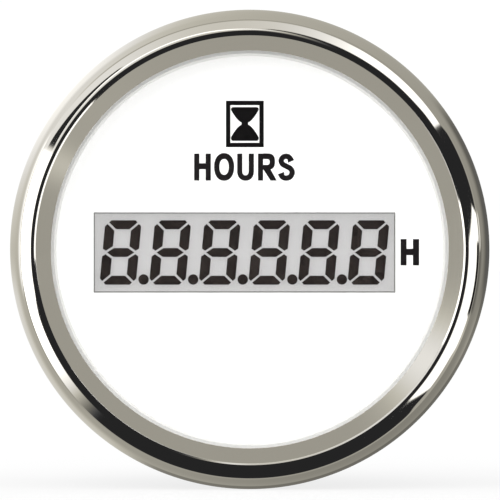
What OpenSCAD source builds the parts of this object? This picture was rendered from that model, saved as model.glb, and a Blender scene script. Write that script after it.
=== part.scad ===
// Round panel-mounted hour meter with a six-digit liquid crystal display.
// The dial faces -Y, +Z is up, +X is right as seen from the front.
// The origin lies on the axis of the barrel, in the panel plane at the rear of the gasket.
// Every piece is drawn with its own z axis toward the viewer and then turned to face -Y.

/* [Panel fit] */
// Radial gap between the barrel and the hole
hole_gap = 0.2; // [0.1:0.05:0.4]
// Length of the full-size stretch of the barrel that sits in the hole
pilot_l = 12; // [9:0.5:14]
// Thickness of the panel that the clamp is set for
panel_t = 6; // [5.5:0.5:8]
// Thickness of the gasket between bezel and panel
panel_gasket_t = 1.5; // [1:0.1:2.5]
// Radial gap between the barrel and the gasket behind the bezel
gasket_gap = 0.9; // [0.85:0.05:1.2]

/* [Bezel] */
// Outer diameter of the bezel, which sets the size of the whole meter
bezel_d = 62; // [58:0.25:70]
// Width of the bezel beyond the panel hole, all round
bezel_overlap = 5; // [4.5:0.1:6]
// Width of the bezel as seen from the front
bezel_face_w = 5.35; // [4.8:0.05:6]
// Thickness of the bezel sheet
bezel_sheet = 0.8; // [0.6:0.05:1]
// Radius of the rounded outer bead
bead_r = 3.1; // [2.4:0.1:3.4]
// Width of the narrow flat on the crest
crest_w = 0.2; // [0.1:0.05:0.5]
// Slope of the inner cone from the dial plane, in degrees
cone_angle = 35; // [28:1:40]
// Width of the flat that presses on the lens gasket
lip_foot_w = 1.05; // [0.8:0.05:1.3]
// Gap between the barrel and the lip that is rolled in behind the flange
crimp_gap = 1.1; // [0.8:0.1:1.6]
// Gap between the bezel and the flange inside it
bezel_fit = 0.1; // [0.05:0.05:0.2]

/* [Lens and dial] */
// Thickness of the lens
lens_t = 1.6; // [1.2:0.1:2.4]
// Thickness of the gasket in front of the lens
lens_gasket_t = 0.5; // [0.4:0.1:0.8]
// Width of the gasket in front of the lens
lens_gasket_w = 2.6; // [2:0.1:2.9]
// Radial gap round the lens, the ring and the dial
lens_fit = 0.2; // [0.1:0.05:0.3]
// Height of the white ring between dial and lens
dial_ring_h = 1.2; // [0.8:0.1:2]
// Width of the ring's bevelled edge that is seen inside the bezel
dial_ring_show = 0.55; // [0.3:0.05:0.9]
// Thickness of the dial plate
dial_t = 0.6; // [0.4:0.05:1]

/* [Display] */
// Height of the display window
view_h = 10.1; // [9.1:0.1:11.1]
// Distance from the corners of the front glass to the edge of its holder
glass_edge = 0.55; // [0.4:0.05:1]
// Sideways place of the window's centre
view_x = -0.68; // [-0.8:0.02:0.8]
// Upward place of the window's centre
view_z = -0.4; // [-0.7:0.05:0.7]
// Margin between the window and the seal of the glass
view_margin = 0.2; // [0.1:0.05:0.3]
// Width of the seal between the two glasses
seal_w = 0.7; // [0.5:0.05:0.8]
// Thickness of each glass
glass_t = 0.7; // [0.5:0.05:1]
// Thickness of each polariser film
polariser_t = 0.2; // [0.15:0.05:0.3]
// Thickness of the layer that holds the segments
crystal_layer_t = 0.15; // [0.1:0.05:0.25]
// Height of the contact ledge on the front glass, above and below
contact_ledge = 2.4; // [2.2:0.1:2.6]

/* [Digits] */
// Number of digits
digit_count = 6; // [4:1:6]
// Margin above and below the digits in the window
digit_margin = 0.86; // [0.7:0.01:1.4]
// Margin beside the row of digits in the window
row_margin = 0.54; // [0.4:0.02:1.2]
// Gap from one digit to the next
digit_gap = 1.72; // [1.6:0.01:2]
// Sideways lean of a digit for one unit of height
digit_lean = 0.0945; // [0:0.0005:0.12]
// Width of the top and bottom strokes
stroke_w = 1.17; // [0.9:0.01:1.3]
// Width of the side strokes
side_stroke_w = 1.29; // [1:0.01:1.4]
// Width of the middle stroke
mid_stroke_w = 1.16; // [0.8:0.01:1.3]
// Gap between two strokes
stroke_gap = 0.28; // [0.2:0.02:0.4]
// Cut across the outer corners of a digit
corner_cut = 0.8; // [0.45:0.05:0.9]
// Distance of the side strokes' points from the outer edge
nose_in = 0.42; // [0.3:0.02:0.6]
// Slope of the pointed stroke ends
nose_slope = 0.67; // [0.5:0.01:0.9]
// Radius of the points between the digits
dot_r = 0.68; // [0.4:0.02:0.7]
// Clearance between a point and the digit at its right
dot_gap = 0.08; // [0.06:0.01:0.2]

/* [Display holder] */
// Thickness of the light guide
guide_t = 2; // [1.5:0.1:2.5]
// Depth of the light chamber behind the light guide
chamber_d = 2.95; // [2:0.05:4]
// Width of the ledge that carries the light guide
guide_ledge = 0.8; // [0.5:0.05:1]
// Thickness of the walls beside the contact strips
strip_wall = 0.4; // [0.3:0.05:0.5]
// Thickness of the contact strips
strip_t = 1.6; // [1.2:0.1:1.8]
// Length of the contact strips
strip_l = 36; // [30:0.5:39]
// Gap round the pieces in the holder
holder_fit = 0.1; // [0.05:0.05:0.12]
// Gap between the holder and the housing
holder_edge_gap = 0.3; // [0.2:0.05:0.4]

/* [Electronics] */
// Thickness of the circuit board
board_t = 1.6; // [1:0.1:2]
// Gap round the circuit board
board_edge_gap = 0.4; // [0.3:0.05:0.5]
// Width of the step that the board lies on
board_step = 1.2; // [0.8:0.1:1.6]
// Width of the square body of the controller
chip_w = 7; // [5:0.5:7.5]
// Height of the controller and of the memory chip
chip_h = 1.4; // [1:0.1:1.6]
// Length of the leads of the chips
lead_l = 1; // [0.8:0.05:1.2]
// Thickness of the leads of the chips
lead_t = 0.2; // [0.15:0.01:0.3]
// Gap between the chips and the board
chip_stand = 0.15; // [0.05:0.01:0.2]
// Length of the memory chip
memory_l = 4.9; // [4:0.1:5.4]
// Width of the memory chip
memory_w = 3.9; // [3.4:0.1:4.2]
// Width of the regulator
regulator_w = 6.5; // [6:0.1:7]
// Depth of the regulator, without its leads
regulator_l = 3.5; // [3:0.1:3.8]
// Height of the regulator
regulator_h = 1.6; // [1.2:0.1:2]
// Length of the surge diode
diode_l = 4.3; // [3.8:0.1:4.8]
// Width of the surge diode
diode_w = 3.6; // [3:0.1:3.9]
// Height of the surge diode
diode_h = 2.2; // [1.8:0.1:2.6]
// Diameter of the capacitor
capacitor_d = 6.3; // [5:0.1:7]
// Height of the capacitor
capacitor_h = 7.7; // [5:0.1:11]
// Length of the crystal's can
crystal_l = 10; // [7:0.5:11]
// Width of the crystal's can
crystal_w = 3.8; // [3:0.1:4.5]
// Height of the crystal's can
crystal_h = 3.4; // [2:0.1:4]
// Width of a chip resistor
resistor_w = 1.25; // [1:0.05:1.4]
// Length of a chip resistor
resistor_l = 2; // [1.6:0.1:2.4]
// Side of a backlight lamp
led_w = 2.8; // [2:0.1:3.2]
// Height of a backlight lamp
led_h = 0.9; // [0.6:0.05:1.5]

/* [Board screws] */
// Diameter of the screws
board_screw_d = 2.2; // [2:0.1:2.6]
// Length of the screws in the posts
board_screw_bite = 8; // [5:0.5:10]
// Diameter of the screw heads
board_screw_head_d = 4; // [3.4:0.1:4.4]
// Height of the screw heads
board_screw_head_h = 1.3; // [1:0.1:1.6]
// Distance of the two upper screws from the inside of the barrel
top_screw_in = 1.9; // [1.6:0.1:3]
// Angle of the two upper screws above the horizontal, in degrees
top_screw_angle = 50; // [45:1:58]
// Distance of the lower screw from the inside of the barrel
low_screw_in = 3.8; // [3.4:0.1:4.2]

/* [Housing] */
// Thickness of the housing walls
wall_t = 2.2; // [2:0.05:2.5]
// Thickness of the rear wall
rear_t = 2; // [1.6:0.1:3]
// Thickness of the flange under the dial
flange_t = 1.6; // [1.2:0.1:2.4]
// Thickness of the rim round the lens
rim_t = 1; // [0.8:0.05:1.2]
// Depth of the whole housing behind the panel plane
body_l = 30; // [28:0.5:32]
// Radius of the rear edge
rear_round = 1.8; // [1:0.1:2]
// Depth of the relief round the root of the barrel
neck_relief = 0.6; // [0.5:0.05:0.8]
// Width of the relief round the root of the barrel
neck_w = 1.8; // [1.6:0.05:2]
// Diameter of the screw posts
post_d = 5.4; // [4.8:0.1:6]
// Number of ribs along the barrel
rib_count = 12; // [8:4:16]
// Width of a rib
rib_w = 1.4; // [1:0.1:2]
// Height of a rib
rib_h = 0.7; // [0.4:0.1:0.9]

/* [Terminals] */
// Width of a terminal blade
blade_w = 6.3; // [4.8:0.1:6.3]
// Thickness of a terminal blade
blade_t = 0.8; // [0.5:0.05:0.8]
// Length of a blade beyond the shroud
blade_l = 8; // [6.5:0.5:9]
// Gap between neighbouring blades
blade_gap = 1.9; // [1.5:0.1:2.4]
// Distance of the blades from the inside of the barrel
blade_in = 8.5; // [8:0.1:9.4]
// Diameter of the detent hole in a blade
blade_hole_d = 1.7; // [1.4:0.1:2]
// Height of the shroud round the blades
shroud_h = 2; // [1:0.25:3]
// Thickness of the shroud's wall round the blades
shroud_wall = 1.3; // [1:0.1:1.5]
// Gap round a blade in the housing
blade_fit = 0.1; // [0.05:0.05:0.15]

/* [Studs and clamp] */
// Thread diameter of the studs
stud_d = 4; // [3.5:0.1:4.2]
// Distance of each stud from the inside of the barrel
stud_in = 6; // [5:0.25:7]
// Diameter of the stud heads inside the housing
stud_head_d = 7; // [6:0.1:7.5]
// Height of the stud heads
stud_head_h = 1.6; // [1.2:0.1:2.4]
// Width across flats of the stud lock nuts
lock_nut_af = 7; // [6.5:0.1:7.5]
// Height of the stud lock nuts
lock_nut_h = 2.2; // [1.6:0.1:2.8]
// Way the clamp can run toward the panel, and as far back again
clamp_travel = 5; // [4:0.25:5]
// Gap left in front of the bracket when it is fully forward
clamp_gap = 0.5; // [0.3:0.1:1]
// Thickness of the bracket's steel strip
bracket_t = 1.2; // [1:0.1:1.4]
// Width of the bracket's steel strip
bracket_w = 14; // [12:0.5:15]
// Gap between the barrel and each leg of the bracket
leg_gap = 1.4; // [1:0.1:1.7]
// Inner radius of the bracket's bends
bend_r = 1; // [0.6:0.1:1.2]
// Radial gap round the studs in the bracket
bracket_hole_gap = 0.3; // [0.2:0.05:0.5]
// Length of a foot across the panel, beyond the inner face of its leg
foot_l = 3.1; // [2.9:0.1:3.3]
// Radial gap between the studs and the thumb nuts
thread_gap = 0.06; // [0.03:0.01:0.09]
// Diameter of the knurled head of a thumb nut
knob_d = 11; // [9:0.25:12]
// Height of the knurled head
knob_h = 4.5; // [3.5:0.25:6]
// Diameter of the collar of a thumb nut
collar_d = 7.5; // [7:0.1:8.5]
// Height of the collar of a thumb nut
collar_h = 1.5; // [1:0.1:2]
// Number of knurl grooves
knurl_count = 28; // [16:2:32]
// Depth of a knurl groove
knurl_depth = 0.4; // [0.2:0.05:0.5]
// Outer diameter of the spring washers
washer_d = 7.6; // [7:0.1:8.5]
// Thickness of the spring washers
washer_t = 0.9; // [0.7:0.1:1.2]
// Width of the split in a spring washer
washer_split = 0.7; // [0.4:0.1:1]

/* [Hidden] */
$fn = 96;
// Overlap that keeps a cut from ending in the plane of a face
cut = 0.5;

// Radii of the housing and of what lies in its rim
bezel_r = bezel_d / 2;
panel_hole_r = bezel_r - bezel_overlap;
opening_r = bezel_r - bezel_face_w;
pilot_r = panel_hole_r - hole_gap;
chamber_r = pilot_r - wall_t;
board_r = chamber_r - board_edge_gap;
barrel_in_r = board_r - board_step;
barrel_r = barrel_in_r + wall_t;
rim_r = bezel_r - bezel_sheet - bezel_fit;
recess_r = rim_r - rim_t;
stack_r = recess_r - lens_fit;
holder_r = chamber_r - holder_edge_gap;

// Heights of the front stack above the panel plane
crimp_z = panel_gasket_t;
flange_z = crimp_z + bezel_sheet;
dial_z = flange_z + flange_t;
ring_z = dial_z + dial_t;
lens_z = ring_z + dial_ring_h;
lens_gasket_z = lens_z + lens_t;
lip_z = lens_gasket_z + lens_gasket_t;
rim_z = lens_gasket_z - lens_fit;

// Section of the bezel
crest_r = bezel_r - bead_r;
crease_r = crest_r - crest_w;
sheet_rise = bezel_sheet / cos(cone_angle);
cone_z = lip_z + sheet_rise;
crest_z = cone_z + (crease_r - opening_r) * tan(cone_angle);
bead_z = crest_z - bead_r;

// Heights of the display stack below the dial
front_glass_z = dial_z - polariser_t - glass_t;
layer_z = front_glass_z - crystal_layer_t;
rear_glass_z = layer_z - glass_t;
rear_film_z = rear_glass_z - polariser_t;
guide_z = rear_film_z - guide_t;
board_z = guide_z - chamber_d;
board_rear_z = board_z - board_t;

// Sizes of the display stack; the front glass is as wide as its corners leave room for in the holder
rear_glass_h = view_h + 2 * (view_margin + seal_w);
front_glass_h = rear_glass_h + 2 * contact_ledge;
corner_r = holder_r - glass_edge;
corner_z = front_glass_h / 2 + abs(view_z);
glass_w = 2 * (sqrt(corner_r * corner_r - corner_z * corner_z) - abs(view_x));
view_w = glass_w - 2 * (view_margin + seal_w);
strip_z = rear_glass_h / 2 + holder_fit + strip_wall + holder_fit + strip_t / 2;

// Sizes of the digits, which fill the window between its margins
digit_h = view_h - 2 * digit_margin;
row_w = view_w - 2 * row_margin - digit_lean * digit_h;
digit_w = (row_w - (digit_count - 1) * digit_gap) / digit_count;
digit_pitch = digit_w + digit_gap;

// Heights behind the panel plane, all negative
rear_z = -body_l;
floor_z = rear_z + rear_t;
lock_nut_z = rear_z - lock_nut_h;
foot_z = -panel_t;
base_z = lock_nut_z - clamp_gap - clamp_travel;
washer_z = base_z - bracket_t;
nut_z = washer_z - washer_t;
stud_end_z = nut_z - collar_h - knob_h - clamp_travel;

// Places of the screws and the blades
top_screw_r = barrel_in_r - top_screw_in;
top_screw_x = top_screw_r * cos(top_screw_angle);
top_screw_z = top_screw_r * sin(top_screw_angle);
board_screws_at = [[-top_screw_x, top_screw_z], [top_screw_x, top_screw_z], [0, low_screw_in - barrel_in_r]];
blade_pitch = blade_w + blade_gap;
blade_drop = barrel_in_r - blade_in;
blades_at = [-blade_pitch, 0, blade_pitch];
stud_x = barrel_in_r - stud_in;
studs_at = [-stud_x, stud_x];
screw_r = board_screw_d / 2;
screw_clear = 0.15;
stud_r = stud_d / 2;
stud_clear = 0.05;
leg_w = 1.4;
leg_clear = 0.1;
leg_hole_r = norm([leg_w, blade_t]) / 2 + leg_clear;

// Places of the parts on the board, in steps of a tenth of its diameter
grid = board_r / 5;
controller_at = [grid, 1.25 * grid];
memory_at = [-1.2 * grid, 1.85 * grid];
crystal_at = [-1.6 * grid, 0.5 * grid];
regulator_at = [1.9 * grid, -0.9 * grid];
capacitor_at = [-1.85 * grid, -1.1 * grid];
diode_at = [0.15 * grid, -1.85 * grid];
resistors_at = [0, -0.7 * grid];

// Turns a piece drawn with z toward the viewer so that it faces -Y.
module faced() {
  rotate([90, 0, 0]) children();
}

// Flat ring between two radii, standing on z.
module ring(inner_r, outer_r, z, h) {
  translate([0, 0, z])
    linear_extrude(h)
      difference() {
        circle(outer_r);
        circle(inner_r);
      }
}

// Plate centred on the display window, standing on z.
module window_plate(w, h, z, t) {
  translate([view_x, view_z, z + t / 2])
    cube([w, h, t], center = true);
}

// Block centred on x and y, hanging from z toward the rear.
module hung_block(x, y, z, w, l, h) {
  translate([x, y, z - h / 2])
    cube([w, l, h], center = true);
}

// Quarter of a band between two radii, in the quadrant that the two signs name.
module quarter_band(inner_r, outer_r, sx, sy) {
  intersection() {
    difference() {
      circle(outer_r);
      circle(inner_r);
    }
    translate([sx > 0 ? 0 : -outer_r, sy > 0 ? 0 : -outer_r]) square(outer_r);
  }
}

// Section of the sheet bezel: rolled lip, wall, bead and inner cone with its flat foot.
module bezel_section() {
  wall_r = bezel_r - bezel_sheet;
  lip_r = pilot_r + crimp_gap;
  translate([lip_r, crimp_z]) square([wall_r - lip_r, bezel_sheet]);
  translate([wall_r, flange_z])
    intersection() {
      circle(bezel_sheet);
      translate([0, -bezel_sheet]) square(bezel_sheet);
    }
  translate([wall_r, flange_z]) square([bezel_sheet, bead_z - flange_z]);
  translate([crest_r, bead_z]) quarter_band(bead_r - bezel_sheet, bead_r, 1, 1);
  polygon([
    [opening_r, lip_z],
    [opening_r + lip_foot_w, lip_z],
    [crease_r, crest_z - sheet_rise],
    [crest_r, crest_z - bezel_sheet],
    [crest_r, crest_z],
    [crease_r, crest_z],
    [opening_r, cone_z]
  ]);
}

// Polished stainless ring, rolled over the flange of the housing.
module bezel() {
  color("silver")
    faced() rotate_extrude() bezel_section();
}

// Flat ring that seals the lens under the lip of the bezel.
module lens_gasket() {
  outer_r = min(opening_r + lens_gasket_w, stack_r - lens_fit);
  color("dimgray")
    faced() ring(opening_r + lens_fit, outer_r, lens_gasket_z, lens_gasket_t);
}

// Clear flat disc.
module lens() {
  color("lightcyan", 0.4)
    faced() translate([0, 0, lens_z]) cylinder(r = stack_r, h = lens_t);
}

// White ring between dial and lens, with a bevelled inner edge.
module dial_ring() {
  inner_r = opening_r - dial_ring_show;
  bevel_r = opening_r - dial_ring_show / 2;
  color("ghostwhite")
    faced()
      rotate_extrude()
        polygon([[inner_r, ring_z], [stack_r, ring_z], [stack_r, lens_z], [bevel_r, lens_z]]);
}

// White plate with the display window.
module dial() {
  color("white")
    faced()
      difference() {
        translate([0, 0, dial_z]) cylinder(r = stack_r, h = dial_t);
        window_plate(view_w, view_h, dial_z - cut, dial_t + 2 * cut);
      }
}

// Front polariser film of the display.
module lcd_front_film() {
  color("gainsboro", 0.5)
    faced() window_plate(glass_w - seal_w, rear_glass_h - seal_w, dial_z - polariser_t, polariser_t);
}

// Front glass with the contact ledges above and below.
module lcd_front_glass() {
  color("azure", 0.4)
    faced() window_plate(glass_w, front_glass_h, front_glass_z, glass_t);
}

// Frame of sealant between the two glasses.
module lcd_seal() {
  cell_w = glass_w - 2 * seal_w;
  cell_h = rear_glass_h - 2 * seal_w;
  color("darkgray")
    faced()
      difference() {
        window_plate(glass_w, rear_glass_h, layer_z, crystal_layer_t);
        window_plate(cell_w, cell_h, layer_z - cut, crystal_layer_t + 2 * cut);
      }
}

// Points of one stroke, leaned to the right with their height.
function leaned(points) = [for (p = points) [p[0] + digit_lean * p[1], p[1]]];

// Points mirrored left to right, and top to bottom.
function mirrored_x(points) = [for (p = points) [-p[0], p[1]]];
function mirrored_y(points) = [for (p = points) [p[0], -p[1]]];

// One digit: mitred outer strokes with cut corners and pointed ends at the middle stroke.
module digit() {
  hw = digit_w / 2;
  hh = digit_h / 2;
  mitre_slope = stroke_w / side_stroke_w;
  mitre_x = stroke_gap / 2 * sqrt(1 + 1 / (mitre_slope * mitre_slope));
  mitre_y = stroke_gap / 2 * sqrt(1 + mitre_slope * mitre_slope);
  top_end = (corner_cut + mitre_slope * mitre_x) / (1 + mitre_slope);
  side_end = (corner_cut - mitre_y) / (1 + mitre_slope);
  half_gap = stroke_gap * 0.8;
  slant_gap = stroke_gap * sqrt(1 + nose_slope * nose_slope);
  tip_in = nose_in + (slant_gap - half_gap) / nose_slope;
  tip_l = mid_stroke_w / 2 / nose_slope;
  top_stroke = [
    [corner_cut - hw, hh],
    [hw - corner_cut, hh],
    [hw - top_end, hh - corner_cut + top_end],
    [hw - side_stroke_w - mitre_x, hh - stroke_w],
    [side_stroke_w + mitre_x - hw, hh - stroke_w],
    [top_end - hw, hh - corner_cut + top_end]
  ];
  side_stroke = [
    [-hw, half_gap + nose_slope * nose_in],
    [nose_in - hw, half_gap],
    [side_stroke_w - hw, half_gap + nose_slope * (side_stroke_w - nose_in)],
    [side_stroke_w - hw, hh - stroke_w - mitre_y],
    [side_end - hw, hh - corner_cut + side_end],
    [-hw, hh - corner_cut]
  ];
  mid_stroke = [
    [tip_in - hw, 0],
    [tip_in + tip_l - hw, mid_stroke_w / 2],
    [hw - tip_in - tip_l, mid_stroke_w / 2],
    [hw - tip_in, 0],
    [hw - tip_in - tip_l, -mid_stroke_w / 2],
    [tip_in + tip_l - hw, -mid_stroke_w / 2]
  ];
  polygon(leaned(top_stroke));
  polygon(leaned(mirrored_y(top_stroke)));
  polygon(leaned(side_stroke));
  polygon(leaned(mirrored_x(side_stroke)));
  polygon(leaned(mirrored_y(side_stroke)));
  polygon(leaned(mirrored_x(mirrored_y(side_stroke))));
  polygon(leaned(mid_stroke));
}

// Six leaning digits with points between them, in the layer between the glasses.
module lcd_segments() {
  dot_x = digit_w / 2 + digit_gap - dot_gap - dot_r;
  dot_y = dot_r - digit_h / 2;
  color("darkslategray")
    faced()
      translate([view_x - digit_pitch * (digit_count - 1) / 2, view_z, layer_z])
        linear_extrude(crystal_layer_t) {
          for (i = [0 : digit_count - 1])
            translate([i * digit_pitch, 0]) digit();
          for (i = [0 : digit_count - 2])
            translate([i * digit_pitch + dot_x + digit_lean * dot_y, dot_y]) circle(dot_r);
        }
}

// Rear glass.
module lcd_rear_glass() {
  color("azure", 0.4)
    faced() window_plate(glass_w, rear_glass_h, rear_glass_z, glass_t);
}

// Rear polariser film with its reflector.
module lcd_rear_film() {
  color("lightgray")
    faced() window_plate(glass_w - seal_w, rear_glass_h - seal_w, rear_film_z, polariser_t);
}

// Clear plate that spreads the backlight.
module light_guide() {
  color("whitesmoke", 0.6)
    faced() window_plate(glass_w, rear_glass_h, guide_z, guide_t);
}

// White disc that holds the glasses, the light guide and the contact strips on the board.
module lcd_holder() {
  well_w = glass_w - 2 * guide_ledge;
  well_h = rear_glass_h - 2 * guide_ledge;
  pocket = 2 * holder_fit;
  head_z = dial_z - lens_fit - board_screw_head_h;
  color("ivory")
    faced()
      difference() {
        translate([0, 0, board_z]) cylinder(r = holder_r, h = dial_z - board_z);
        window_plate(glass_w + pocket, front_glass_h + pocket, front_glass_z, dial_z - front_glass_z + cut);
        window_plate(glass_w + pocket, rear_glass_h + pocket, guide_z, dial_z - guide_z + cut);
        window_plate(well_w, well_h, board_z - cut, chamber_d + 2 * cut);
        for (side = [-1, 1])
          translate([0, side * strip_z, 0])
            window_plate(strip_l + pocket, strip_t + pocket, board_z - cut, dial_z - board_z + 2 * cut);
        for (p = board_screws_at)
          translate([p[0], p[1], 0]) {
            translate([0, 0, board_z - cut]) cylinder(r = screw_r + screw_clear, h = dial_z - board_z);
            translate([0, 0, head_z])
              cylinder(d = board_screw_head_d + 2 * screw_clear, h = dial_z - head_z + cut);
          }
      }
}

// Two strips that join the contact ledges of the glass to the board.
module contact_strips() {
  color("slategray")
    faced()
      for (side = [-1, 1])
        translate([0, side * strip_z, 0]) window_plate(strip_l, strip_t, board_z, front_glass_z - board_z);
}

// Round circuit board on the step inside the housing.
module circuit_board() {
  color("darkgreen")
    faced()
      difference() {
        translate([0, 0, board_rear_z]) cylinder(r = board_r, h = board_t);
        for (p = board_screws_at)
          translate([p[0], p[1], board_rear_z - cut])
            cylinder(r = screw_r + screw_clear, h = board_t + 2 * cut);
        for (x = blades_at)
          translate([x, -blade_drop, board_rear_z - cut]) cylinder(r = leg_hole_r, h = board_t + 2 * cut);
      }
}

// Four lamps on the front of the board, in the light chamber.
module backlight_lamps() {
  lamp_pitch = (glass_w - 2 * guide_ledge) / 4;
  color("lightyellow")
    faced()
      for (i = [0 : 3])
        hung_block(view_x + (i - 1.5) * lamp_pitch, view_z, board_z + led_h, led_w, led_w, led_h);
}

// One row of flat bent leads along x, the foot on the board and the shoulder in the body.
module lead_row(count, pitch, reach, lead_h) {
  lead_w = pitch * 0.45;
  foot = reach * 0.6;
  for (i = [0 : count - 1])
    translate([(i - (count - 1) / 2) * pitch - lead_w / 2, 0, 0]) {
      translate([0, reach - foot, -lead_t]) cube([lead_w, foot, lead_t]);
      translate([0, reach - foot, -lead_h]) cube([lead_w, lead_t, lead_h]);
      translate([0, -lead_t, -lead_h]) cube([lead_w, reach - foot + 2 * lead_t, lead_t]);
    }
}

// Square controller with leads on its four sides.
module controller() {
  lead_count = 8;
  lead_pitch = chip_w / (lead_count + 1);
  color("dimgray")
    faced()
      translate([controller_at[0], controller_at[1], board_rear_z]) {
        hung_block(0, 0, -chip_stand, chip_w, chip_w, chip_h);
        for (turn = [0 : 90 : 270])
          rotate([0, 0, turn])
            translate([0, chip_w / 2, 0]) lead_row(lead_count, lead_pitch, lead_l, chip_h / 2);
      }
}

// Memory chip with four leads on each long side.
module memory_chip() {
  lead_count = 4;
  lead_pitch = memory_l / lead_count;
  color("dimgray")
    faced()
      translate([memory_at[0], memory_at[1], board_rear_z]) {
        hung_block(0, 0, -chip_stand, memory_l, memory_w, chip_h);
        for (turn = [0, 180])
          rotate([0, 0, turn])
            translate([0, memory_w / 2, 0]) lead_row(lead_count, lead_pitch, lead_l, chip_h / 2);
      }
}

// Crystal in a flat metal can with rounded ends.
module crystal() {
  half = (crystal_l - crystal_w) / 2;
  base_edge = crystal_w / 10;
  base_h = crystal_h / 8;
  color("lightgray")
    faced()
      translate([crystal_at[0], crystal_at[1], board_rear_z]) {
        translate([0, 0, -crystal_h])
          linear_extrude(crystal_h) {
            square([2 * half, crystal_w], center = true);
            for (side = [-half, half]) translate([side, 0]) circle(crystal_w / 2);
          }
        translate([0, 0, -base_h])
          linear_extrude(base_h) {
            square([2 * half, crystal_w + 2 * base_edge], center = true);
            for (side = [-half, half]) translate([side, 0]) circle(crystal_w / 2 + base_edge);
          }
      }
}

// Voltage regulator with a cooling tab and three leads.
module regulator() {
  lead_count = 3;
  lead_pitch = regulator_w / lead_count;
  tab_w = regulator_w / 2;
  tab_l = regulator_l / 2;
  color("dimgray")
    faced()
      translate([regulator_at[0], regulator_at[1], board_rear_z]) {
        hung_block(0, 0, -chip_stand, regulator_w, regulator_l, regulator_h);
        hung_block(0, regulator_l / 2, 0, tab_w, tab_l, chip_stand + lead_t);
        rotate([0, 0, 180])
          translate([0, regulator_l / 2, 0]) lead_row(lead_count, lead_pitch, lead_l, regulator_h / 2);
      }
}

// Upright capacitor can with a grooved neck on a square foot.
module capacitor() {
  can_r = capacitor_d / 2;
  foot_h = can_r / 3;
  groove_d = can_r / 10;
  groove_h = can_r / 5;
  color("gainsboro")
    faced()
      translate([capacitor_at[0], capacitor_at[1], board_rear_z]) {
        hung_block(0, 0, 0, capacitor_d, capacitor_d, foot_h);
        rotate_extrude()
          polygon([
            [0, -foot_h / 2],
            [can_r, -foot_h / 2],
            [can_r, -foot_h - groove_h],
            [can_r - groove_d, -foot_h - 1.5 * groove_h],
            [can_r, -foot_h - 2 * groove_h],
            [can_r, groove_d - capacitor_h],
            [can_r - groove_d, -capacitor_h],
            [0, -capacitor_h]
          ]);
      }
}

// Surge diode with a flat lead at each end.
module surge_diode() {
  end_l = diode_l / 7;
  end_w = diode_w / 2;
  color("dimgray")
    faced()
      translate([diode_at[0], diode_at[1], board_rear_z]) {
        hung_block(0, 0, 0, diode_l, diode_w, diode_h);
        hung_block(0, 0, 0, diode_l + 2 * end_l, end_w, lead_t);
      }
}

// Six chip resistors in two rows.
module resistors() {
  resistor_h = resistor_w * 0.4;
  row_pitch = resistor_w * 1.7;
  column = resistor_l * 0.7;
  color("dimgray")
    faced()
      translate([resistors_at[0], resistors_at[1], board_rear_z])
        for (i = [-1 : 1])
          for (side = [-column, column])
            hung_block(side, i * row_pitch, 0, resistor_l, resistor_w, resistor_h);
}

// Three screws through the holder and the board into the posts.
module board_screws() {
  head_r = board_screw_head_d / 2;
  head_z = dial_z - lens_fit - board_screw_head_h;
  end_z = board_rear_z - board_screw_bite;
  drive_w = 0.6;
  drive_l = board_screw_head_d * 0.6;
  color("lightsteelblue")
    faced()
      for (p = board_screws_at)
        translate([p[0], p[1], 0])
          difference() {
            rotate_extrude()
              polygon([
                [0, end_z],
                [screw_r / 2, end_z],
                [screw_r, end_z + screw_r],
                [screw_r, head_z],
                [head_r, head_z],
                [head_r, head_z + board_screw_head_h * 0.6],
                [head_r * 0.75, head_z + board_screw_head_h],
                [0, head_z + board_screw_head_h]
              ]);
            translate([0, 0, head_z + board_screw_head_h]) {
              cube([drive_w, drive_l, board_screw_head_h], center = true);
              cube([drive_l, drive_w, board_screw_head_h], center = true);
            }
          }
}

// Section of the housing: rim, flange, neck, pilot, barrel with a rounded rear edge, and rear wall.
module housing_section() {
  step_z = -pilot_l - (pilot_r - barrel_r);
  neck_z = flange_z - neck_w;
  difference() {
    polygon([
      [0, rear_z],
      [barrel_r, rear_z],
      [barrel_r, step_z],
      [pilot_r, -pilot_l],
      [pilot_r, neck_z],
      [pilot_r - neck_relief, neck_z],
      [pilot_r - neck_relief, flange_z],
      [rim_r, flange_z],
      [rim_r, rim_z],
      [recess_r, rim_z],
      [recess_r, dial_z],
      [chamber_r, dial_z],
      [chamber_r, board_rear_z],
      [barrel_in_r, board_rear_z],
      [barrel_in_r, floor_z],
      [0, floor_z]
    ]);
    translate([barrel_r - rear_round, rear_z + rear_round])
      difference() {
        translate([0, -rear_round - cut]) square(rear_round + cut);
        circle(rear_round);
      }
  }
}

// Rounded block round the three blades, in plan.
module shroud_plan() {
  end_r = blade_t / 2 + blade_fit + shroud_wall;
  half = blade_pitch + blade_w / 2 + shroud_wall - end_r;
  square([2 * half, 2 * end_r], center = true);
  for (side = [-half, half]) translate([side, 0]) circle(end_r);
}

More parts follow.
